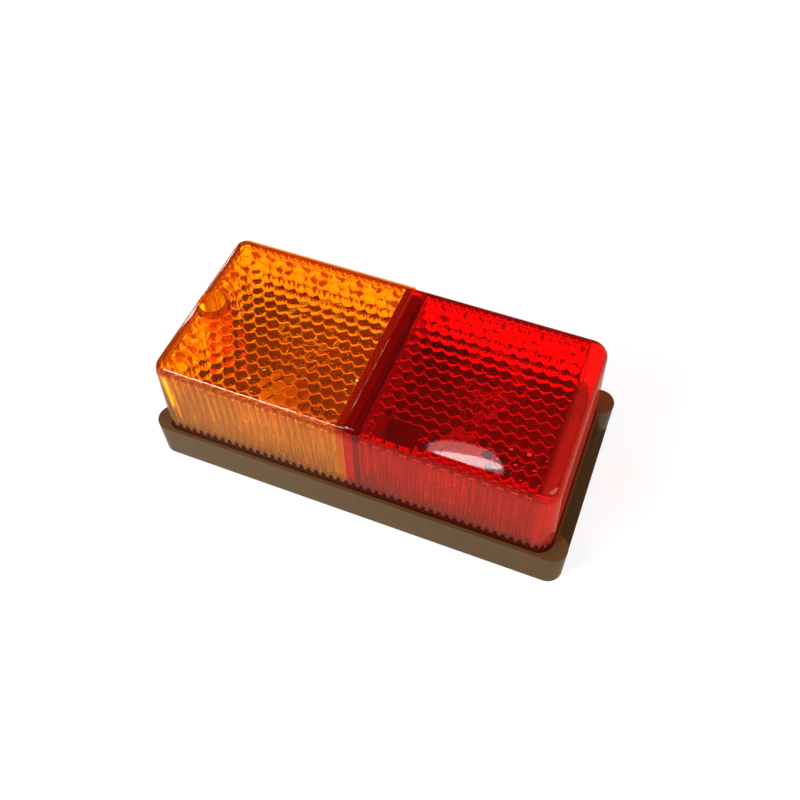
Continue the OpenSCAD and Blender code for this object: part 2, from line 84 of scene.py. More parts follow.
class Wave:
    """One socket of a node tree that takes part in sums, so that an expression adds its Math nodes."""

    def __init__(self, tree: bpy.types.NodeTree, socket: bpy.types.NodeSocket) -> None:
        """Keeps the socket and its tree.

        Args:
            tree: Tree that new Math nodes go into.
            socket: Output socket that holds the value.
        """
        self.tree = tree
        self.socket = socket

    def _sum(self, operation: str, *terms: Wave | float) -> Wave:
        """Adds one Math node.

        Args:
            operation: Name of the Math node's operation.
            terms: Sockets or numbers, in order.

        Returns:
            The node's value.
        """
        node = self.tree.nodes.new("ShaderNodeMath")
        node.operation = operation
        for slot, term in zip(node.inputs, terms):
            if isinstance(term, Wave):
                self.tree.links.new(term.socket, slot)
            else:
                slot.default_value = term
        return Wave(self.tree, node.outputs[0])

    def __add__(self, other: Wave | float) -> Wave:
        """Sum of both."""
        return self._sum("ADD", self, other)

    def __mul__(self, other: Wave | float) -> Wave:
        """Product of both."""
        return self._sum("MULTIPLY", self, other)

    def __sub__(self, other: Wave | float) -> Wave:
        """Difference of both."""
        return self._sum("SUBTRACT", self, other)

    def __rsub__(self, other: float) -> Wave:
        """Number less this value."""
        return self._sum("SUBTRACT", other, self)

    def either(self, other: Wave | float) -> Wave:
        """The larger of both."""
        return self._sum("MAXIMUM", self, other)

    def share(self) -> Wave:
        """This value kept between zero and one."""
        return self._sum("MINIMUM", self.either(0.0), 1.0)

    def ripple(self) -> Wave:
        """Sine of this value."""
        return self._sum("SINE", self)

    def fraction(self) -> Wave:
        """Part of this value past its whole number."""
        return self._sum("FRACT", self)

    def past(self, edge: float, slope: float) -> Wave:
        """Mask of the places past an edge, of a value that holds a length.

        Args:
            edge: Place where the mask starts to rise, in millimetres.
            slope: Rise of the mask on each millimetre.

        Returns:
            Zero before the edge and one well past it.
        """
        return ((self - edge * MM) * (slope / MM)).share()

    def before(self, edge: float, slope: float) -> Wave:
        """Mask of the places before an edge, which falls to zero there: past the other way round."""
        return ((edge * MM - self) * (slope / MM)).share()

    def about(self, middle: float, spread: float) -> Wave:
        """Turns a noise, whose middle is one half, into one with another middle.

        Args:
            middle: Middle of the new noise.
            spread: Factor on its swing.

        Returns:
            The new noise.
        """
        return self * spread + (middle - spread / 2)


class Paint:
    """Builds one node material from plain calls."""

    def __init__(self, name: str) -> None:
        """Starts an empty material.

        Args:
            name: Name of the material.
        """
        self.material = bpy.data.materials.new(name)
        self.material.use_nodes = True
        self.tree = self.material.node_tree
        self.tree.nodes.clear()
        self.place = self.node("ShaderNodeTexCoord").outputs["Object"]

    def node(self, kind: str, settings: dict | None = None, **values: object) -> bpy.types.Node:
        """Adds one node.

        Args:
            kind: Type of the node.
            settings: Attributes of the node, set before its sockets.
            values: Value or link of each socket, with underscores for the spaces in its name.

        Returns:
            The node.
        """
        node = self.tree.nodes.new(kind)
        for key, value in (settings or {}).items():
            setattr(node, key, value)
        for key, value in values.items():
            slot = node.inputs[key.replace("_", " ")]
            if isinstance(value, Wave):
                self.tree.links.new(value.socket, slot)
            elif isinstance(value, bpy.types.NodeSocket):
                self.tree.links.new(value, slot)
            else:
                slot.default_value = value
        return node

    def wave(self, socket: bpy.types.NodeSocket) -> Wave:
        """The socket as a value that takes part in sums."""
        return Wave(self.tree, socket)

    def axes(self) -> list[Wave]:
        """The object's own X, Y and Z."""
        parts = self.node("ShaderNodeSeparateXYZ", Vector=self.place)
        return [self.wave(socket) for socket in parts.outputs]

    def noise(self, scale: float, detail: float = 3.0, stretch: Triple = (1.0, 1.0, 1.0)) -> Wave:
        """Adds a noise on the object's own coordinates.

        Args:
            scale: Number of grains on a metre.
            detail: Number of finer layers.
            stretch: Factor on each axis.

        Returns:
            Value of the noise, about one half.
        """
        spot = self.node("ShaderNodeMapping", Vector=self.place, Scale=stretch)
        grain = self.node("ShaderNodeTexNoise", Vector=spot.outputs[0], Scale=scale, Detail=detail)
        return self.wave(grain.outputs[0])

    def mixed(self, factor: Wave, first: Colour, second: Colour) -> bpy.types.NodeSocket:
        """Adds a blend of two colours.

        Args:
            factor: Share of the second colour.
            first: Colour at zero.
            second: Colour at one.

        Returns:
            The colour socket.
        """
        node = self.node("ShaderNodeMix", {"data_type": "RGBA"})
        self.tree.links.new(factor.socket, node.inputs[0])
        node.inputs[MIX_FIRST].default_value = (*first, 1.0)
        node.inputs[MIX_SECOND].default_value = (*second, 1.0)
        return node.outputs[MIX_RESULT]

    def bump(self, height: Wave, depth: float) -> bpy.types.NodeSocket:
        """Adds a bump.

        Args:
            height: Height from zero to one.
            depth: Real height of one, in metres.

        Returns:
            The normal socket.
        """
        return self.node("ShaderNodeBump", Height=height, Distance=depth, Strength=1.0).outputs[0]

    def matt(self, colour: Colour) -> bpy.types.NodeSocket:
        """Adds a plain matt shader of one colour and gives its socket."""
        return self.node("ShaderNodeBsdfDiffuse", Color=(*colour, 1.0)).outputs[0]

    def glow(self, colour: Colour, strength: float) -> bpy.types.NodeSocket:
        """Adds a shader that gives light of one colour and takes none, and gives its socket."""
        return self.node("ShaderNodeEmission", Color=(*colour, 1.0), Strength=strength).outputs[0]

    def blend(self, factor: Wave, first: bpy.types.NodeSocket,
              second: bpy.types.NodeSocket) -> bpy.types.NodeSocket:
        """Adds a blend of two shaders.

        Args:
            factor: Share of the second shader.
            first: Shader at zero.
            second: Shader at one.

        Returns:
            The shader socket.
        """
        node = self.node("ShaderNodeMixShader", Fac=factor)
        self.tree.links.new(first, node.inputs[1])
        self.tree.links.new(second, node.inputs[2])
        return node.outputs[0]

    def surface(self, shader: bpy.types.NodeSocket) -> bpy.types.Material:
        """Links the shader to the output and gives the material."""
        self.node("ShaderNodeOutputMaterial", Surface=shader)
        return self.material

    def clear_surface(self, shader: bpy.types.NodeSocket, shade: Colour) -> bpy.types.Material:
        """Links the shader of a clear piece, that lets light through to what lies behind it.

        Args:
            shader: What the piece looks like.
            shade: Colour that the light takes on its way through.

        Returns:
            The material.
        """
        through = self.node("ShaderNodeBsdfTransparent", Color=(*shade, 1.0))
        rays = self.node("ShaderNodeLightPath")
        shadow = self.wave(rays.outputs["Is Shadow Ray"])
        return self.surface(self.blend(shadow, shader, through.outputs[0]))


@dataclass
class LampSizes:
    """Sizes of the lens pair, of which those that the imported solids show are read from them."""

    half_length: float = 65.0
    half_width: float = 30.5
    wall: float = 2.0
    face: float = 2.8
    edge_height: float = 4.5
    strip_left: float = -3.2
    strip_right: float = 4.2
    channel_left: float = -1.2
    channel_right: float = 2.2
    inner_corner: float = 2.5
    scale_pitch: float = 4.2
    row_pitch: float = 3.6
    scale_rise: float = 0.95
    flute_pitch: float = 2.6
    flute_rise: float = 0.55
    seam: float = field(init=False)
    middle_y: float = field(init=False)
    top: float = field(init=False)
    foot: float = field(init=False)
    foot_half_length: float = field(init=False)
    foot_half_width: float = field(init=False)

    def __post_init__(self) -> None:
        """Reads the outer reach of the lenses from their solids."""
        low, high = (Vector(corner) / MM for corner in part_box("amber_lens"))
        self.top = high.z
        self.foot = low.z
        self.foot_half_length = -low.x
        self.foot_half_width = (high.y - low.y) / 2
        self.middle_y = (high.y + low.y) / 2
        self.seam = high.x

    @property
    def inner_top(self) -> float:
        """Height of the inside of the face."""
        return self.top - self.face

    @property
    def lap(self) -> float:
        """Height of the shoulder that the amber face laps over."""
        return self.top - self.face / 2

    @property
    def cavity_half_length(self) -> float:
        """Half length of the hollow under both faces."""
        return self.half_length - self.wall

    @property
    def cavity_half_width(self) -> float:
        """Half width of the hollow under both faces."""
        return self.half_width - self.wall


@dataclass(frozen=True)
class Area:
    """Rectangle on the face of a lens, with Y from the middle of the lenses."""

    low: Pair
    high: Pair

    def holds(self, x: float, y: float) -> bool:
        """Tells whether the place x, y lies in the rectangle."""
        return self.low[0] < x < self.high[0] and self.low[1] < y < self.high[1]


@dataclass(frozen=True)
class TintedLens:
    """Clear coloured acrylic with a faint flow in the moulding, a little dust in its gloss and an uneven haze.

    The haze is slight on the face and slighter on the strip at the seam, and stronger on the walls. Painted
    light:
    a stronger, paler haze is laid on the brim along the back and the left end, on the plain right end of the face
    and on the front edge of each scale, standing in for light piped through the thick edges and refracted by the
    scales. Painted shade: the foot of each wall is painted dark between the flutes, standing in for the seal and
    the shaded base seen through it.
    """

    name: str
    tint: Colour
    shade: Colour
    scatter: Colour
    wall_scatter: Colour
    sizes: LampSizes
    area: Area
    # Painted light: extra haze on the plain right end, on the brim and on the front edge of each scale,
    # brightening them as piped and refracted light would.
    plain_end_painted_glow: float = 0.0
    brim_painted_light: float = 0.0
    face_haze: float = 0.04
    wall_haze: float = 0.12
    scale_edge_painted_highlight: float = 0.42
    dust_haze: float = 0.01
    plain_end: float = 58.0
    wall_depth: float = 3.5
    brim_depth: float = 5.0
    brim_back: float = 2.1
    brim_left: float = 1.1
    strip_margin: float = 0.4
    strip_clearness: float = 0.5
    # Painted shade at the foot of the walls: band height, tooth height, how fully it covers, and its dark colour
    # standing in for the seal and the shaded base seen through the foot.
    band: float = 3.8
    tooth: float = 1.8
    foot_shade_cover: float = 0.92
    painted_foot_shade: Colour = (0.035, 0.005, 0.003)
    scale_edge_width: float = 1.15
    scale_edge_swing: float = 0.595
    scale_edge_start: float = -0.055
    sheet_over: float = 0.2
    sheet_under: float = 0.85
    ior: float = 1.49

    def _scale_edge_highlight_mask(self, spot: list[Wave]) -> Wave:
        """Mask of the painted highlight on the front edge of each scale on the inside of the face.

        Args:
            spot: The lens's own X, Y and Z.

        Returns:
            One on an edge and zero elsewhere.
        """
        x, y, z = spot
        sizes, area = self.sizes, self.area
        start_x, end_x = area.low[0], area.high[0]
        start_y = area.low[1] + sizes.middle_y + self.scale_edge_start
        turn = 2 * math.pi / (sizes.scale_pitch * MM)
        swing = ((x - start_x * MM) * turn).ripple() * (self.scale_edge_swing * MM)
        step = 2 * sizes.row_pitch * MM
        even = ((y - start_y * MM + swing) * (1.0 / step)).fraction() * step
        odd = ((y - (start_y + sizes.row_pitch) * MM - swing) * (1.0 / step)).fraction() * step
        width = self.scale_edge_width
        edges = even.before(width, slope=1.3).either(odd.before(width, slope=1.3))
        sheet = (z.before(sizes.inner_top + self.sheet_over, slope=5.0)
                 * z.past(sizes.inner_top - self.sheet_under, slope=5.0))
        return edges * sheet * (x.past(start_x, slope=2.0) * x.before(end_x, slope=2.0))

    def _painted_foot_shade_band(self, spot: list[Wave]) -> Wave:
        """Mask of the painted shade at the foot of the walls, with a tooth on each flute.

        Args:
            spot: The lens's own X, Y and Z.

        Returns:
            One on the band and zero above it.
        """
        x, y, z = spot
        turn = 2 * math.pi / (self.sizes.flute_pitch * MM)
        teeth = (((x + y) * turn).ripple() * 2.0 + 0.5).share() * (self.tooth * MM)
        return (z - teeth).before(self.sizes.foot + self.band, slope=2.5)

    def _brim_light_mask(self, spot: list[Wave]) -> Wave:
        """Mask of the painted light on the upper edge along the back and the left end.

        Args:
            spot: The lens's own X, Y and Z.

        Returns:
            One at the top of the edge and zero away from it.
        """
        x, y, z = spot
        sizes = self.sizes
        back = sizes.half_width + sizes.middle_y - self.brim_back
        left = self.brim_left - sizes.half_length
        at_edge = y.past(back, slope=2.0).either(x.before(left, slope=2.0))
        return at_edge * z.past(sizes.top - self.brim_depth, slope=0.3)

    def material(self) -> bpy.types.Material:
        """Builds the material, that lets tinted light through to the inside."""
        paint, sizes = Paint(self.name), self.sizes
        flow = paint.noise(45.0, 2.0)
        dust = paint.noise(2600.0, 4.0)
        body = paint.node(
            "ShaderNodeBsdfPrincipled", Base_Color=(*self.tint, 1.0), Roughness=dust.about(0.03, 0.05),
            Transmission_Weight=1.0, IOR=self.ior, Normal=paint.bump(flow, 0.00002))
        spot = paint.axes()
        x, _, z = spot
        in_wall = z.before(sizes.top - self.wall_depth, slope=1.0)
        plain_end_glow = x.past(self.plain_end, slope=0.4)
        in_strip = (x.past(sizes.strip_left - self.strip_margin, slope=2.0)
                    * x.before(sizes.strip_right + self.strip_margin, slope=2.0))
        brim_light = self._brim_light_mask(spot)
        scale_edge_highlight = self._scale_edge_highlight_mask(spot)

        on_face = (1.0 - in_wall) * (1.0 - in_strip * self.strip_clearness)
        # The haze mixes the real scatter of the plastic with painted light on the plain end, the brim and the
        # scale edges.
        haze_and_painted_light = in_wall * self.wall_haze + on_face * self.face_haze + dust.about(0.0, self.dust_haze)
        for mask, strength in ((plain_end_glow, self.plain_end_painted_glow), (brim_light, self.brim_painted_light),
                               (scale_edge_highlight, self.scale_edge_painted_highlight)):
            haze_and_painted_light = haze_and_painted_light.either(mask * strength)
        # Paler scatter colour on the walls, and as painted light on the brim, the plain end and the scale edges.
        pale = brim_light.either(in_wall).either(plain_end_glow * 0.5).either(scale_edge_highlight)
        cloud = paint.blend(pale, paint.matt(self.scatter), paint.matt(self.wall_scatter))
        milky = paint.blend(haze_and_painted_light, body.outputs[0], cloud)
        # Painted shade: the foot of each wall is painted dark between the flutes, standing in for the seal and
        # the shaded base seen through it.
        painted_shade = self._painted_foot_shade_band(spot) * self.foot_shade_cover
        return paint.clear_surface(paint.blend(painted_shade, milky, paint.matt(self.painted_foot_shade)), self.shade)


@dataclass(frozen=True)
class Moulding:
    """Glossy or dull moulded plastic or rubber with a faint mottle: grains on a metre, and depth in metres."""

    name: str
    dark: Colour
    light: Colour
    roughness: float
    grain: float
    depth: float

    def material(self) -> bpy.types.Material:
        """Builds the material."""
        paint = Paint(self.name)
        mottle = paint.noise(180.0, 4.0)
        skin = paint.noise(self.grain, 3.0)
        body = paint.node(
            "ShaderNodeBsdfPrincipled", Base_Color=paint.mixed(mottle, self.dark, self.light),
            Roughness=skin.about(self.roughness, 0.12), Normal=paint.bump(skin, self.depth))
        return paint.surface(body.outputs[0])


@dataclass(frozen=True)
class Metal:
    """Rolled and stamped metal with fine lines along X and a slight stain."""

    name: str
    clean: Colour
    stained: Colour
    roughness: float

    def material(self) -> bpy.types.Material:
        """Builds the material."""
        paint = Paint(self.name)
        stain = paint.noise(140.0, 4.0)
        lines = paint.noise(900.0, 2.0, (0.05, 1.0, 1.0))
        body = paint.node(
            "ShaderNodeBsdfPrincipled", Base_Color=paint.mixed(stain, self.clean, self.stained), Metallic=1.0,
            Roughness=lines.about(self.roughness, 0.2), Normal=paint.bump(lines, 0.00001))
        return paint.surface(body.outputs[0])


@dataclass(frozen=True)
class ClearGlass:
    """Thin clear glass of a bulb."""

    name: str

    def material(self) -> bpy.types.Material:
        """Builds the material, that casts no shadow inside the lamp."""
        paint = Paint(self.name)
        smear = paint.noise(120.0, 2.0)
        body = paint.node(
            "ShaderNodeBsdfPrincipled", Base_Color=(0.98, 0.99, 1.0, 1.0), Roughness=smear * 0.03,
            Transmission_Weight=1.0, IOR=1.45)
        return paint.clear_surface(body.outputs[0], (1.0, 1.0, 1.0))


def finish_piece(name: str, mesh: bmesh.types.BMesh, sharp_deg: float = 32.0) -> bpy.types.Object:
    """Turns a bmesh into a smooth shaded object with crisp edges where faces turn sharply.

    Args:
        name: Name of the object.
        mesh: Shape to use up.
        sharp_deg: Angle between faces, in degrees, past which an edge stays crisp.

    Returns:
        The object, linked to the scene.
    """
    limit = math.radians(sharp_deg)
    for face in mesh.faces:
        face.smooth = True
    for edge in mesh.edges:
        edge.smooth = len(edge.link_faces) == 2 and edge.calc_face_angle(0.0) < limit
    data = bpy.data.meshes.new(name)
    mesh.to_mesh(data)
    mesh.free()
    piece = bpy.data.objects.new(name, data)
    bpy.context.scene.collection.objects.link(piece)
    return piece


def carve(piece: bpy.types.Object, tool: bpy.types.Object, how: Shape) -> bpy.types.Object:
    """Joins a tool to a piece or cuts it away, and removes the tool.

    Args:
        piece: Piece to change.
        tool: Closed shape.
        how: Join or cut.

    Returns:
        The changed piece.
    """
    step = piece.modifiers.new(how.name, "BOOLEAN")
    step.operation = how.value
    step.solver = "EXACT"
    step.object = tool
    graph = bpy.context.evaluated_depsgraph_get()
    data = bpy.data.meshes.new_from_object(piece.evaluated_get(graph))
    piece.modifiers.clear()
    old, piece.data = piece.data, data
    data.name = piece.name
    bpy.data.meshes.remove(old)
    bpy.data.objects.remove(tool)
    return piece


def add_box(mesh: bmesh.types.BMesh, low: Iterable[float], high: Iterable[float]) -> None:
    """Adds a box between two corners.

    Args:
        mesh: Mesh that the box goes into.
        low: Lowest corner.
        high: Highest corner.
    """
    lowest, highest = Vector(low) * MM, Vector(high) * MM
    size = highest - lowest
    place = Matrix.Translation((lowest + highest) / 2) @ Matrix.Diagonal((*size, 1.0))
    bmesh.ops.create_cube(mesh, size=1.0, matrix=place)


def add_rod(mesh: bmesh.types.BMesh, start: Iterable[float], end: Iterable[float], radius: float,
            sides: int = 48, end_radius: float | None = None) -> None:
    """Adds a closed round rod between two points.

    Args:
        mesh: Mesh that the rod goes into.
        start: Middle of the first end.
        end: Middle of the second end.
        radius: Radius at the first end.
        sides: Number of sides.
        end_radius: Radius at the second end, the same where it isn't given.
    """
    first, last = Vector(start) * MM, Vector(end) * MM
    way = last - first
    turn = Vector((0.0, 0.0, 1.0)).rotation_difference(way).to_matrix().to_4x4()
    bmesh.ops.create_cone(
        mesh, cap_ends=True, segments=sides, radius1=radius * MM,
        radius2=(radius if end_radius is None else end_radius) * MM, depth=way.length,
        matrix=Matrix.Translation((first + last) / 2) @ turn)


@dataclass
class LensCup:
    """One lens as a closed cup that runs past the seam and is then trimmed there.

    The inside of the face is a fine sheet. Its rim is drawn down the fluted walls, round the foot, up the outside
    and over the rounded edge, and the face closes it. Side is -1 for the left lens and 1 for the right one.
    """

    name: str
    sizes: LampSizes
    side: int
    edge: float
    corner: float
    relief: Callable[[float, float], float]
    plain_end: float
    first_flute: float
    step: float = 0.3
    overrun: float = 9.0
    brink: float = 0.5
    flute_gap: float = 0.5
    plain_foot: float = 1.6
    flute_runout: float = 0.2
    edge_turns: int = 9

    def _span(self, reach: float) -> Pair:
        """Middle and half length of an outline that reaches from past the seam to the lens's own end.

        Args:
            reach: Distance of the lens's own end from the middle of the lamp.

        Returns:
            Middle and half length.
        """
        past = self.sizes.seam - self.side * self.overrun
        end = self.side * reach
        return (past + end) / 2, abs(end - past) / 2

    def _spot(self, across: float, along: float, reach: float, half_width: float, corner: float) -> Pair:
        """Place of a sheet coordinate on an outline with round corners.

        Args:
            across: Coordinate along X, from -1 to 1.
            along: Coordinate along Y, from -1 to 1.
            reach: Distance of the lens's end from the middle of the lamp.
            half_width: Half width of the outline.
            corner: Corner radius.

        Returns:
            X and Y.
        """
        middle, half = self._span(reach)
        x, y = abs(across) * half, abs(along) * half_width
        u, v = (x - half + corner) / corner, (y - half_width + corner) / corner
        if u > 0.0 and v > 0.0:
            x = half - corner + corner * u * math.sqrt(1.0 - v * v / 2)
            y = half_width - corner + corner * v * math.sqrt(1.0 - u * u / 2)
        return middle + math.copysign(x, across), math.copysign(y, along)

    def _flute(self, across: float, along: float, x: float, y: float) -> Pair:
        """Moves a point of the inner wall in by the height of its flute.

        Args:
            across: Sheet coordinate along X.
            along: Sheet coordinate along Y.
            x: Place on the smooth wall.
            y: Place on the smooth wall.

        Returns:
            Place on the fluted wall.
        """
        sizes = self.sizes
        pitch, rise = sizes.flute_pitch, sizes.flute_rise
        if abs(along) > ON_RIM and self.side * x < sizes.cavity_half_length - self.plain_end:
            way = self.side * (x - self.first_flute)
            if way > 0.0:
                y -= math.copysign(rise * abs(math.sin(math.pi * way / pitch)), y)
        elif abs(across) > ON_RIM and abs(y) < sizes.cavity_half_width - sizes.inner_corner:
            x -= math.copysign(rise * abs(math.sin(math.pi * y / pitch)), across)
        return x, y

    def _trim(self, mesh: bmesh.types.BMesh) -> None:
        """Cuts the cup off at the seam, closes the cut and bevels the edge between it and the face.

        Args:
            mesh: Closed cup that runs past the seam.
        """
        seam, level = self.sizes.seam * MM, (self.sizes.top - 0.01) * MM
        bmesh.ops.bisect_plane(
            mesh, geom=[*mesh.verts, *mesh.edges, *mesh.faces], plane_co=(seam, 0.0, 0.0),
            plane_no=(-self.side, 0.0, 0.0), clear_outer=True)
        bmesh.ops.holes_fill(mesh, edges=[edge for edge in mesh.edges if edge.is_boundary])
        brink = [edge for edge in mesh.edges
                 if all(abs(vert.co.x - seam) < 1e-6 and vert.co.z > level for vert in edge.verts)]
        bmesh.ops.bevel(mesh, geom=brink, offset=self.brink * MM, segments=3, profile=0.5, affect="EDGES")

    def build(self) -> bpy.types.Object:
        """Builds the cup and trims it at the seam.

        Returns:
            The closed lens, without its own ribs and bores.
        """
        sizes = self.sizes
        reach, width, corner = sizes.cavity_half_length, sizes.cavity_half_width, sizes.inner_corner
        mesh = bmesh.new()
        _, half = self._span(reach)
        columns, rows = round(2 * half / self.step), round(2 * width / self.step)
        bmesh.ops.create_grid(mesh, x_segments=columns, y_segments=rows, size=1.0)
        across = mesh.verts.layers.float.new("across")
        along = mesh.verts.layers.float.new("along")
        for vert in mesh.verts:
            vert[across], vert[along] = vert.co.x, vert.co.y
            x, y = self._spot(vert.co.x, vert.co.y, reach, width, corner)
            vert.co = Vector((x, y, sizes.inner_top - self.relief(x, y))) * MM

        def ring(reach: float, half_width: float, corner: float, height: float, fluted: bool = False) -> None:
            """Draws the rim of the mesh out to a new outline, as in _spot, at a height."""
            rim = [edge for edge in mesh.edges if edge.is_boundary]
            bmesh.ops.extrude_edge_only(mesh, edges=rim)
            for vert in {v for edge in mesh.edges if edge.is_boundary for v in edge.verts}:
                x, y = self._spot(vert[across], vert[along], reach, half_width, corner)
                if fluted:
                    x, y = self._flute(vert[across], vert[along], x, y)
                vert.co = Vector((x, y, height)) * MM

        ring(reach, width, corner, sizes.inner_top - self.flute_gap, fluted=True)
        ring(reach, width, corner, sizes.foot + (self.plain_foot + self.flute_runout), fluted=True)
        ring(reach, width, corner, sizes.foot + self.plain_foot)
        ring(reach, width, corner, sizes.foot)
        ring(sizes.foot_half_length, sizes.foot_half_width, self.corner, sizes.foot)
        ring(sizes.half_length, sizes.half_width, self.corner, sizes.top - sizes.edge_height)
        for turn in range(1, self.edge_turns + 1):
            angle = math.pi / 2 * turn / self.edge_turns
            inset = self.edge * (1.0 - math.cos(angle))
            ring(sizes.half_length - inset, sizes.half_width - inset, self.corner - inset / 2,
                 sizes.top - sizes.edge_height * (1.0 - math.sin(angle)))
        bmesh.ops.holes_fill(mesh, edges=[edge for edge in mesh.edges if edge.is_boundary])
        self._trim(mesh)
        bmesh.ops.recalc_face_normals(mesh, faces=mesh.faces)
        return finish_piece(self.name, mesh)


@dataclass
class Scales:
    """Round scales in staggered rows on the inside of a face, each row over the next one in front of it."""

    sizes: LampSizes
    area: Area
    bare: Area | None = None
    size: float = 2.45
    lean: float = 0.42

    def rise(self, x: float, y: float) -> float:
        """Height of the scales below the inside of the face.

        Args:
            x: Place along the lamp.
            y: Place across the lamp.

        Returns:
            Height of the highest scale there, the full height on the bare panel, and zero outside the scales.
        """
        sizes, size = self.sizes, self.size
        if self.bare and self.bare.holds(x, y):
            return sizes.scale_rise
        if not self.area.holds(x, y):
            return 0.0
        start_x, start_y = self.area.low
        row = math.floor((y - start_y) / sizes.row_pitch)
        for line in (row + 1, row, row - 1):
            shift = 0.25 if line % 2 == 0 else 0.75
            middle_y = start_y + (line + 0.5) * sizes.row_pitch
            column = round((x - start_x) / sizes.scale_pitch - shift)
            middle_x = start_x + (column + shift) * sizes.scale_pitch
            far = ((x - middle_x) ** 2 + (y - middle_y) ** 2) / size ** 2
            if far < 1.0:
                lean = 0.5 + (middle_y - y) / (2 * size)
                return sizes.scale_rise * ((1.0 - self.lean) * (1.0 - far) + self.lean * lean)
        return 0.0


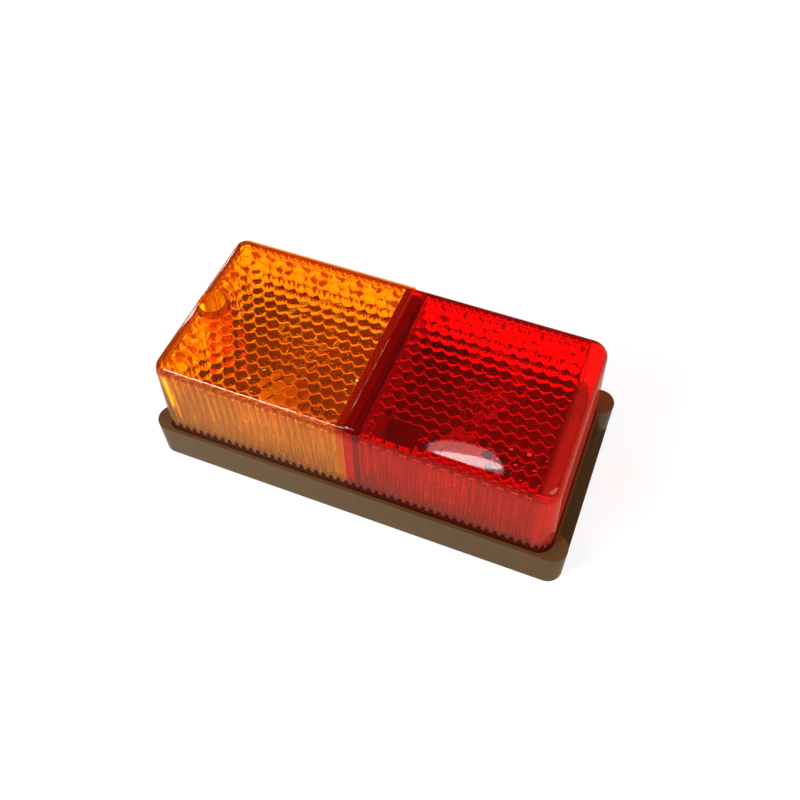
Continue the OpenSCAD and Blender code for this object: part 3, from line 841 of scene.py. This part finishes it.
@dataclass
class Lenses:
    """The amber and the red lens, with the well, the divider and the hooks that belong to them."""

    sizes: LampSizes
    side_margin: float = 1.2
    left_margin: float = 1.0
    amber_gap: float = 0.2
    red_gap: float = 0.8
    red_plain_end: float = 4.5
    panel_low: Pair = (3.0, 1.5)
    panel_high: Pair = (17.0, 9.0)
    well_inset: float = 5.5
    well_radius: float = 4.25
    well_foot: float = 17.0
    well_floor: float = 18.5
    tube_radius: float = 5.75
    tube_trim: float = 0.4
    screw_radius: float = 2.3
    overlap: float = 1.0
    divider_foot: float = 1.5
    bite: float = 0.1
    rib_bite: float = 0.4
    shoulder_bite: float = 0.3
    hook_spread: float = 12.0
    hook_half_width: float = 4.0
    hook_reach: float = 2.8
    hook_gap: float = 1.3
    hook_low: float = 8.0
    hook_high: float = 22.0
    barb_high: float = 10.4
    bridge_foot: float = 1.7
    bridge_bite: float = 0.5
    amber_area: Area = field(init=False)
    red_area: Area = field(init=False)

    def __post_init__(self) -> None:
        """Lays out the scales on both faces."""
        sizes = self.sizes
        side = sizes.cavity_half_width - self.side_margin
        self.amber_area = Area((self.left_margin - sizes.cavity_half_length, -side),
                               (sizes.strip_left - self.amber_gap, side))
        self.red_area = Area((sizes.strip_right + self.red_gap, -side),
                             (sizes.cavity_half_length - self.red_plain_end, side))

    def _amber_relief(self) -> Callable[[float, float], float]:
        """Scales of the amber lens, and the step up to the lap at the seam.

        Returns:
            Function that gives the height below the inside of the face at any place.
        """
        sizes = self.sizes
        scales = Scales(sizes, self.amber_area)

        def relief(x: float, y: float) -> float:
            """Height below the inside of the face, negative on the lap."""
            return sizes.inner_top - sizes.lap if x > sizes.strip_left else scales.rise(x, y)

        return relief

    def _red_relief(self) -> Callable[[float, float], float]:
        """Scales of the red lens with its bare panel, as a function like the amber one."""
        left, front = self.sizes.strip_right, -self.sizes.cavity_half_width
        panel = Area((left + self.panel_low[0], front + self.panel_low[1]),
                     (left + self.panel_high[0], front + self.panel_high[1]))
        return Scales(self.sizes, self.red_area, panel).rise

    def build_amber(self) -> bpy.types.Object:
        """Builds the amber lens with the tube of its screw well.

        Returns:
            The lens, that stands for its solid.
        """
        sizes, over = self.sizes, self.overlap
        lens = LensCup("amber_face", sizes, side=-1, edge=1.5, corner=4.0, relief=self._amber_relief(),
                       plain_end=2.6, first_flute=sizes.strip_left - 1.4).build()
        well = -sizes.half_length + self.well_inset
        tube = bmesh.new()
        add_rod(tube, (well, 0, self.well_foot), (well, 0, sizes.top - over), self.tube_radius, 64)
        trim = (self.tube_trim - sizes.half_length) * MM
        bmesh.ops.bisect_plane(tube, geom=[*tube.verts, *tube.edges, *tube.faces], plane_co=(trim, 0, 0),
                               plane_no=(-1, 0, 0), clear_outer=True)
        bmesh.ops.holes_fill(tube, edges=[edge for edge in tube.edges if edge.is_boundary])
        lens = carve(lens, finish_piece("well_tube", tube), Shape.JOIN)
        bore = bmesh.new()
        add_rod(bore, (well, 0, self.well_floor), (well, 0, sizes.top + over), self.well_radius, 64)
        lens = carve(lens, finish_piece("well_bore", bore), Shape.CUT)
        hole = bmesh.new()
        add_rod(hole, (well, 0, self.well_foot - over), (well, 0, self.well_floor + over),
                self.screw_radius, 32)
        lens = carve(lens, finish_piece("well_hole", hole), Shape.CUT)
        plastic = TintedLens(
            "amber_acrylic", tint=(1.0, 0.56, 0.014), shade=(1.0, 0.36, 0.02), scatter=(1.0, 0.17, 0.01),
            wall_scatter=(1.0, 0.36, 0.04), sizes=sizes, area=self.amber_area, brim_painted_light=0.6)
        return self._dress(lens, plastic, "amber_lens")

    def build_red(self) -> bpy.types.Object:
        """Builds the red lens with the channel under the plain strip and the hooks at its end.

        Returns:
            The lens, that stands for its solid.
        """
        sizes, bite = self.sizes, self.bite
        lens = LensCup("red_face", sizes, side=1, edge=2.7, corner=5.2, relief=self._red_relief(),
                       plain_end=self.red_plain_end, first_flute=sizes.strip_right + 0.5).build()
        half = sizes.cavity_half_width + bite
        low = sizes.foot + self.divider_foot
        ribs = bmesh.new()
        add_box(ribs, (sizes.strip_left, -half, low), (sizes.channel_left, half, sizes.lap))
        add_box(ribs, (sizes.channel_right, -half, low),
                (sizes.strip_right, half, sizes.inner_top + self.rib_bite))
        add_box(ribs, (sizes.channel_left - bite, -half, sizes.inner_top),
                (sizes.seam + self.shoulder_bite, half, sizes.lap))
        lens = carve(lens, finish_piece("divider", ribs), Shape.JOIN)
        end = sizes.cavity_half_length
        start = end - self.hook_reach
        hooks = bmesh.new()
        for side in (-1, 1):
            front = side * self.hook_spread - self.hook_half_width
            back = side * self.hook_spread + self.hook_half_width
            add_box(hooks, (start, front, self.hook_low), (end - self.hook_gap, back, self.hook_high))
            add_box(hooks, (start, front, sizes.foot + self.bridge_foot),
                    (end + self.bridge_bite, back, self.hook_high - bite))
            add_box(hooks, (start, front, self.hook_low), (end, back, self.barb_high))
        lens = carve(lens, finish_piece("hooks", hooks), Shape.JOIN)
        plastic = TintedLens(
            "red_acrylic", tint=(0.97, 0.018, 0.018), shade=(0.97, 0.04, 0.03), scatter=(0.42, 0.012, 0.009),
            wall_scatter=(0.80, 0.05, 0.025), sizes=sizes, area=self.red_area, plain_end_painted_glow=0.20,
            brim_painted_light=0.15)
        return self._dress(lens, plastic, "red_lens")

    def _dress(self, lens: bpy.types.Object, finish: TintedLens, node: str) -> bpy.types.Object:
        """Moves the lens to its place, sharpens its edges, gives it its finish and takes the solid's place.

        Args:
            lens: Carved lens.
            finish: Its plastic.
            node: Name of its solid.

        Returns:
            The lens.
        """
        mesh = bmesh.new()
        mesh.from_mesh(lens.data)
        bmesh.ops.translate(mesh, verts=mesh.verts, vec=(0.0, self.sizes.middle_y * MM, 0.0))
        old = lens.data
        name = lens.name
        bpy.data.objects.remove(lens)
        bpy.data.meshes.remove(old)
        lens = finish_piece(name, mesh)
        lens.data.materials.clear()
        lens.data.materials.append(finish.material())
        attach(lens, "root")
        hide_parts(node)
        return lens


@dataclass
class Bulb:
    """Hollow glass of a bayonet bulb with its lead wires and filaments, along Y from its cap."""

    name: str
    node: str
    filaments: int
    wall: float = 0.7
    neck: float = 6.6
    collar: float = 2.0
    stem_length: float = 6.0
    stem_foot_radius: float = 2.6
    stem_tip_radius: float = 1.6
    lead_start: Pair = (1.0, 5.0)
    lead_end: float = 4.2
    lead_radius: float = 0.35
    filament_way: float = 17.0
    filament_step: float = 4.0
    filament_spread: float = 5.0
    filament_half_length: float = 4.4
    filament_radius: float = 0.3
    glass: ClearGlass = ClearGlass("bulb_glass")
    wire: Metal = Metal("lead_wire", clean=(0.45, 0.43, 0.40), stained=(0.30, 0.28, 0.26), roughness=0.35)

    def _build_envelope(self, low: Vector, high: Vector) -> bpy.types.Object:
        """Builds the hollow glass.

        Args:
            low: Lowest corner of its solid.
            high: Highest corner of its solid.

        Returns:
            The glass, that stands for its solid.
        """
        middle = (low + high) / 2
        globe = (high.x - low.x) / 2
        span = high.y - low.y - globe
        profile = [(self.neck, 0.0), (self.neck, self.collar), (globe * 0.9, span - globe * 0.43)]
        for angle in (math.radians(degrees) for degrees in range(-18, 91, 9)):
            profile.append((globe * math.cos(angle), span + globe * math.sin(angle)))
        hollow = [(max(radius - self.wall, 0.0),
                   way - (self.wall if radius < globe / 2 and way > span else 0.0))
                  for radius, way in profile[:-1]]
        hollow.append((0.0, profile[-1][1] - self.wall))

        mesh = bmesh.new()
        outer, inner = ([mesh.verts.new(Vector((radius, way, 0.0)) * MM) for radius, way in line]
                        for line in (profile, hollow))
        for line in (outer, inner):
            for first, second in zip(line, line[1:]):
                mesh.edges.new((first, second))
        mesh.edges.new((outer[0], inner[0]))
        bmesh.ops.spin(mesh, geom=[*mesh.verts, *mesh.edges], axis=(0.0, 1.0, 0.0), cent=(0.0, 0.0, 0.0),
                       angle=2 * math.pi, steps=48, use_merge=True)
        bmesh.ops.remove_doubles(mesh, verts=mesh.verts, dist=1e-6)
        bmesh.ops.recalc_face_normals(mesh, faces=mesh.faces)
        bmesh.ops.translate(mesh, verts=mesh.verts, vec=Vector((middle.x, low.y, middle.z)) * MM)
        envelope = finish_piece(self.name + "_envelope", mesh, 60.0)
        envelope.data.materials.append(self.glass.material())
        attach(envelope, "root")
        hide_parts(self.node)
        return envelope

    def _build_mount(self, low: Vector, high: Vector) -> bpy.types.Object:
        """Builds the glass stem, the lead wires and the filaments.

        Args:
            low: Lowest corner of the solid of the glass.
            high: Highest corner of the solid of the glass.

        Returns:
            The mount as one piece.
        """
        middle = (low + high) / 2
        mount = bmesh.new()
        add_rod(mount, (middle.x, low.y - 0.2, middle.z), (middle.x, low.y + self.stem_length, middle.z),
                self.stem_foot_radius, 24, self.stem_tip_radius)
        for index in range(self.filaments):
            height = middle.z + (index - (self.filaments - 1) / 2) * self.filament_spread
            tip = low.y + self.filament_way + self.filament_step * index
            for side in (-1, 1):
                foot = (middle.x + side * self.lead_start[0], low.y + self.lead_start[1], middle.z)
                add_rod(mount, foot, (middle.x + side * self.lead_end, tip, height), self.lead_radius, 12)
            half = self.filament_half_length
            add_rod(mount, (middle.x - half, tip, height), (middle.x + half, tip, height),
                    self.filament_radius, 10)
        leads = finish_piece(self.name + "_mount", mount)
        leads.data.materials.append(self.wire.material())
        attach(leads, "root")
        return leads

    def build(self) -> list[bpy.types.Object]:
        """Builds the envelope and the mount inside it.

        Returns:
            Both pieces.
        """
        low, high = (Vector(corner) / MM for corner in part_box(self.node))
        return [self._build_envelope(low, high), self._build_mount(low, high)]


@dataclass
class Fittings:
    """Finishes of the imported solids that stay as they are."""

    base: Moulding = Moulding("base_plastic", dark=(0.068, 0.033, 0.010), light=(0.096, 0.047, 0.014),
                              roughness=0.20, grain=420.0, depth=0.00002)
    rubber: Moulding = Moulding("black_rubber", dark=(0.012, 0.012, 0.012), light=(0.022, 0.022, 0.022),
                                roughness=0.62, grain=1500.0, depth=0.00004)
    laminate: Moulding = Moulding("insulator_board", dark=(0.12, 0.045, 0.02), light=(0.17, 0.07, 0.03),
                                  roughness=0.55, grain=1900.0, depth=0.00003)
    steel: Metal = Metal("zinc_plated_steel", clean=(0.66, 0.63, 0.58), stained=(0.52, 0.48, 0.42),
                         roughness=0.5)
    brass: Metal = Metal("bright_brass", clean=(0.70, 0.50, 0.20), stained=(0.50, 0.33, 0.12), roughness=0.30)

    def dress(self, nodes: dict[str, bpy.types.Object]) -> None:
        """Gives each remaining solid its finish.

        Args:
            nodes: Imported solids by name.
        """
        groups = {
            self.base: ("base_housing",),
            self.rubber: ("lens_gasket", "cable_grommet"),
            self.laminate: ("indicator_insulator", "stop_tail_insulator"),
            self.steel: ("lens_screw", "indicator_bracket", "stop_tail_bracket", "indicator_shell",
                         "stop_tail_shell", "bracket_rivets"),
            self.brass: ("indicator_contact", "stop_contact", "tail_contact", "earth_strip", "contact_rivets",
                         "indicator_bulb_cap", "stop_tail_bulb_cap"),
        }
        for finish, names in groups.items():
            material = finish.material()
            for name in names:
                nodes[name].data.materials.clear()
                nodes[name].data.materials.append(material)
                log.info("dressed %s in %s", name, finish.name)


@dataclass(frozen=True)
class SoftLamp:
    """Soft oval lamp aimed at the part, with its place and size in metres and its power in watts."""

    name: str
    place: Triple
    size: Pair
    power: float

    def build(self) -> None:
        """Adds the lamp to the scene."""
        data = bpy.data.lights.new(self.name, "AREA")
        data.energy = self.power
        data.shape = "ELLIPSE"
        data.size, data.size_y = self.size
        lamp = bpy.data.objects.new(self.name, data)
        lamp.location = self.place
        lamp.rotation_euler = Vector(self.place).to_track_quat("Z", "Y").to_euler()
        bpy.context.scene.collection.objects.link(lamp)


@dataclass
class Studio:
    """White floor, soft lamps and the camera at the photograph's angle. Angles are in degrees."""

    middle_y: float
    camera_place: Triple = (69.5, -153.1, 260.6)
    azimuth: float = 22.67
    elevation: float = 54.88
    roll: float = 1.32
    focal_length: float = 39.67
    sensor_width: float = 36.0
    soft_sky: float = 0.48
    straight_sky: float = 2.2
    mirrored_sky: float = 0.04
    seen_sky: float = 1.0
    lamps: tuple[SoftLamp, ...] = (
        SoftLamp("right_softbox", (1.1, -0.2, 0.9), (1.0, 1.0), 8.0),
        SoftLamp("face_lamp", (-0.104, 0.398, 1.064), (0.115, 0.032), 0.10),
        SoftLamp("face_halo", (-0.110, 0.414, 1.080), (0.135, 0.09), 0.07),
        SoftLamp("edge_lamp", (-0.44, -0.62, 0.80), (0.28, 0.55), 12.0),
        SoftLamp("seam_lamp", (-0.80, 0.62, 0.62), (0.2, 0.3), 1.8),
    )

    def build_floor(self) -> None:
        """Builds the floor, that looks white, shows a faint shadow and is warm and dim in a reflection."""
        mesh = bmesh.new()
        bmesh.ops.create_grid(mesh, x_segments=1, y_segments=1, size=3.0)
        bmesh.ops.translate(mesh, verts=mesh.verts, vec=(0.0, 0.0, -0.0001))
        floor = finish_piece("floor", mesh)
        paint = Paint("white_floor")
        rays = paint.node("ShaderNodeLightPath").outputs
        through = paint.wave(rays["Is Transmission Ray"])
        seen = paint.wave(rays["Is Camera Ray"]).either(through)
        mirrored = (paint.wave(rays["Is Glossy Ray"]) - through).either(0.0)
        plain = paint.blend(seen * 0.85, paint.matt((0.9, 0.9, 0.9)), paint.glow((1.0, 1.0, 1.0), 1.0))
        bright = paint.blend(through, plain, paint.glow((1.0, 1.1, 0.9), 1.75))
        side = (paint.axes()[0] * 5.0 + 0.4).share()
        dim = paint.blend(side, paint.glow((1.0, 0.93, 0.72), 0.52), paint.glow((1.0, 0.90, 0.68), 0.32))
        floor.data.materials.append(paint.surface(paint.blend(mirrored, bright, dim)))

    def build_world(self) -> None:
        """Sets a soft even sky that glossy faces see as a dark room."""
        world = bpy.data.worlds.new("studio")
        bpy.context.scene.world = world
        world.use_nodes = True
        tree = world.node_tree
        tree.nodes.clear()
        rays = tree.nodes.new("ShaderNodeLightPath").outputs
        crisp = 1.0 - Wave(tree, rays["Diffuse Depth"]).share()
        straight = Wave(tree, rays["Is Transmission Ray"]) * crisp
        mirrored = Wave(tree, rays["Glossy Depth"]).share() * crisp
        sky = self.build_tone(tree, self.soft_sky)
        for factor, tone in ((straight, self.straight_sky), (mirrored, self.mirrored_sky),
                             (Wave(tree, rays["Is Camera Ray"]), self.seen_sky)):
            mix = tree.nodes.new("ShaderNodeMixShader")
            tree.links.new(factor.socket, mix.inputs[0])
            tree.links.new(sky, mix.inputs[1])
            tree.links.new(self.build_tone(tree, tone), mix.inputs[2])
            sky = mix.outputs[0]
        out = tree.nodes.new("ShaderNodeOutputWorld")
        tree.links.new(sky, out.inputs[0])

    def build_tone(self, tree: bpy.types.NodeTree, strength: float) -> bpy.types.NodeSocket:
        """Adds one even white of the sky.

        Args:
            tree: Node tree of the world.
            strength: Brightness.

        Returns:
            The shader socket.
        """
        tone = tree.nodes.new("ShaderNodeBackground")
        tone.inputs[0].default_value = (1.0, 1.0, 1.0, 1.0)
        tone.inputs[1].default_value = strength
        return tone.outputs[0]

    def build_camera(self) -> None:
        """Builds the camera and makes it the scene's own."""
        turn, rise, roll = (math.radians(angle) for angle in (self.azimuth, self.elevation, self.roll))
        back = Vector((math.sin(turn) * math.cos(rise), -math.cos(turn) * math.cos(rise), math.sin(rise)))
        level = Vector((0.0, 0.0, 1.0)).cross(back).normalized()
        up = back.cross(level)
        right = level * math.cos(roll) - up * math.sin(roll)
        up = back.cross(right)
        data = bpy.data.cameras.new("photo_camera")
        data.lens = self.focal_length
        data.sensor_width = self.sensor_width
        data.clip_start = 0.01
        camera = bpy.data.objects.new("photo_camera", data)
        place = Vector(self.camera_place) + Vector((0.0, self.middle_y, 0.0))
        turned = Matrix((right, up, back)).transposed().to_4x4()
        camera.matrix_world = Matrix.Translation(place * MM) @ turned
        bpy.context.scene.collection.objects.link(camera)
        bpy.context.scene.camera = camera

    def build(self) -> None:
        """Builds the whole studio and sets the plain view transform."""
        self.build_floor()
        self.build_world()
        for lamp in self.lamps:
            lamp.build()
        self.build_camera()
        bpy.context.scene.view_settings.view_transform = "Standard"


def main() -> None:
    """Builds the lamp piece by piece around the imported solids."""
    logging.basicConfig(level=logging.INFO, format="%(message)s")
    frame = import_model()
    sizes = LampSizes()
    Studio(sizes.middle_y).build()
    Fittings().dress(frame["nodes"])
    for bulb in (Bulb("indicator_bulb", "indicator_bulb_glass", filaments=1),
                 Bulb("stop_tail_bulb", "stop_tail_bulb_glass", filaments=2)):
        for piece in bulb.build():
            log.info("built %s with %d faces", piece.name, len(piece.data.polygons))
    lenses = Lenses(sizes)
    for lens in (lenses.build_amber(), lenses.build_red()):
        log.info("built %s with %d faces", lens.name, len(lens.data.polygons))
    log.info("sizes written")


if __name__ == "__main__":
    main()
